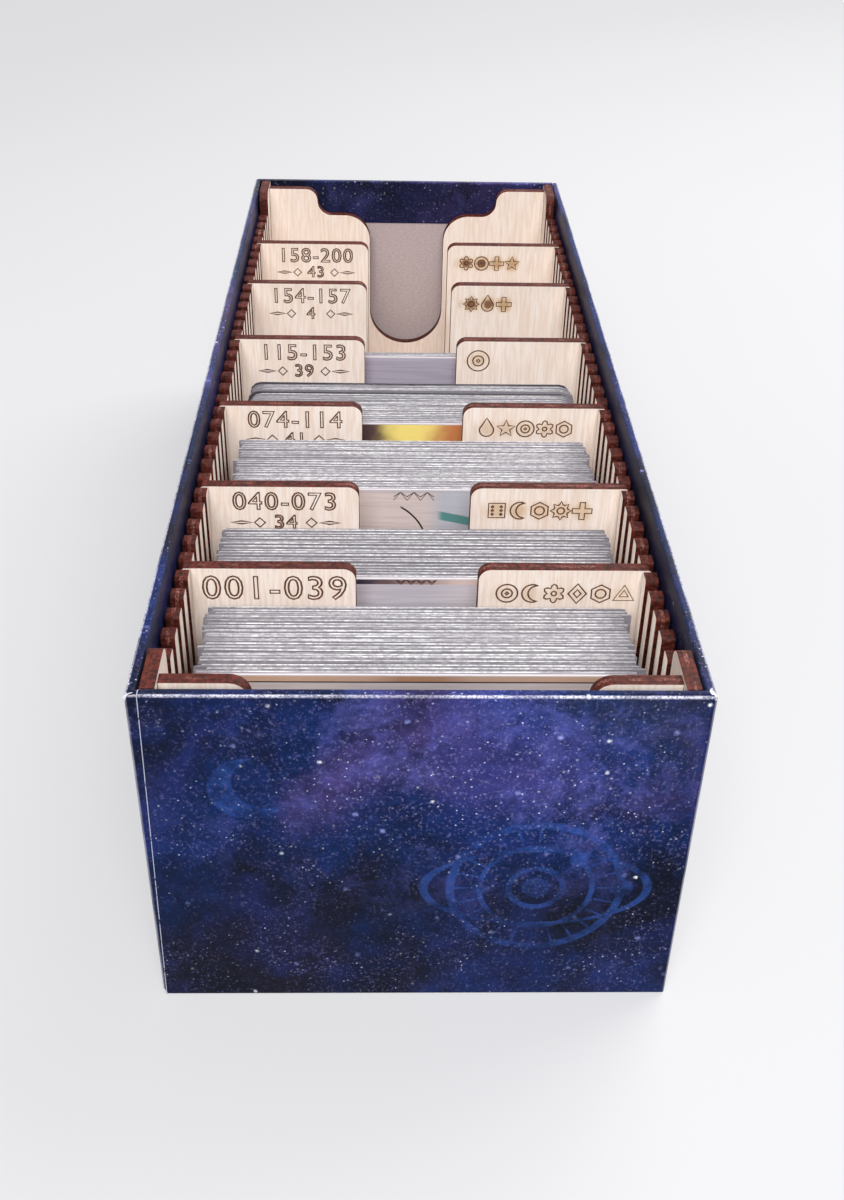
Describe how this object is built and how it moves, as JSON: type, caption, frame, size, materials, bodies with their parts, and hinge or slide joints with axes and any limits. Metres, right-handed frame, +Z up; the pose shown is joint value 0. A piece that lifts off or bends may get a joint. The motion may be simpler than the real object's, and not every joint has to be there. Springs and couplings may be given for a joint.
{
  "type": "card box organizer",
  "caption": "Open printed card box with a slotted plywood insert, lift-out tabbed dividers and packs of sleeved cards.",
  "frame": {"origin": "middle of the box's footprint, on the surface that it stands on", "axes": "+X across the box to the right, +Y from the front wall to the back wall, +Z up"},
  "size_m": [0.1086, 0.295, 0.083],
  "materials": {
    "printed_paper": "gloss film over a dark blue and violet print",
    "greyboard": "plain grey board",
    "plywood": "raw birch plywood with scorched cut edges",
    "divider_plywood": "raw birch plywood, engraved, with scorched cut edges",
    "card_face": "printed card in a clear sleeve",
    "sleeved_cards": "edges of cards in clear sleeves"
  },
  "bodies": {
    "tray": {"base_board": "greyboard", "left_board": "greyboard", "right_board": "greyboard", "front_board": "greyboard", "back_board": "greyboard", "base_sheet": "printed_paper", "wrap_sheet": "printed_paper"},
    "insert": {"floor_plate": "plywood", "left_side_plate": "plywood", "right_side_plate": "plywood", "front_plate": "plywood", "back_plate": "plywood"},
    "divider_1_body": {"divider_1": "divider_plywood"},
    "divider_2_body": {"divider_2": "divider_plywood"},
    "divider_3_body": {"divider_3": "divider_plywood"},
    "divider_4_body": {"divider_4": "divider_plywood"},
    "divider_5_body": {"divider_5": "divider_plywood"},
    "divider_6_body": {"divider_6": "divider_plywood"},
    "pack_1_body": {"face_card_1": "card_face", "card_pack_1": "sleeved_cards"},
    "pack_2_body": {"face_card_2": "card_face", "card_pack_2": "sleeved_cards"},
    "pack_3_body": {"face_card_3": "card_face", "card_pack_3": "sleeved_cards"},
    "pack_4_body": {"face_card_4": "card_face", "card_pack_4": "sleeved_cards"},
    "pack_5_body": {"face_card_5": "card_face", "card_pack_5": "sleeved_cards"}
  },
  "joints": [
    {"name": "insert_lift", "type": "slide", "parent": "tray", "child": "insert", "axis": [0, 0, 1], "range_m": [0, 0.085]},
    {"name": "divider_1_lift", "type": "slide", "parent": "insert", "child": "divider_1_body", "axis": [0, 0, 1], "range_m": [0, 0.08]},
    {"name": "divider_2_lift", "type": "slide", "parent": "insert", "child": "divider_2_body", "axis": [0, 0, 1], "range_m": [0, 0.08]},
    {"name": "divider_3_lift", "type": "slide", "parent": "insert", "child": "divider_3_body", "axis": [0, 0, 1], "range_m": [0, 0.08]},
    {"name": "divider_4_lift", "type": "slide", "parent": "insert", "child": "divider_4_body", "axis": [0, 0, 1], "range_m": [0, 0.08]},
    {"name": "divider_5_lift", "type": "slide", "parent": "insert", "child": "divider_5_body", "axis": [0, 0, 1], "range_m": [0, 0.08]},
    {"name": "divider_6_lift", "type": "slide", "parent": "insert", "child": "divider_6_body", "axis": [0, 0, 1], "range_m": [0, 0.08]},
    {"name": "card_pack_1_lift", "type": "slide", "parent": "insert", "child": "pack_1_body", "axis": [0, 0, 1], "range_m": [0, 0.08]},
    {"name": "card_pack_2_lift", "type": "slide", "parent": "insert", "child": "pack_2_body", "axis": [0, 0, 1], "range_m": [0, 0.08]},
    {"name": "card_pack_3_lift", "type": "slide", "parent": "insert", "child": "pack_3_body", "axis": [0, 0, 1], "range_m": [0, 0.08]},
    {"name": "card_pack_4_lift", "type": "slide", "parent": "insert", "child": "pack_4_body", "axis": [0, 0, 1], "range_m": [0, 0.08]},
    {"name": "card_pack_5_lift", "type": "slide", "parent": "insert", "child": "pack_5_body", "axis": [0, 0, 1], "range_m": [0, 0.08]}
  ]
}
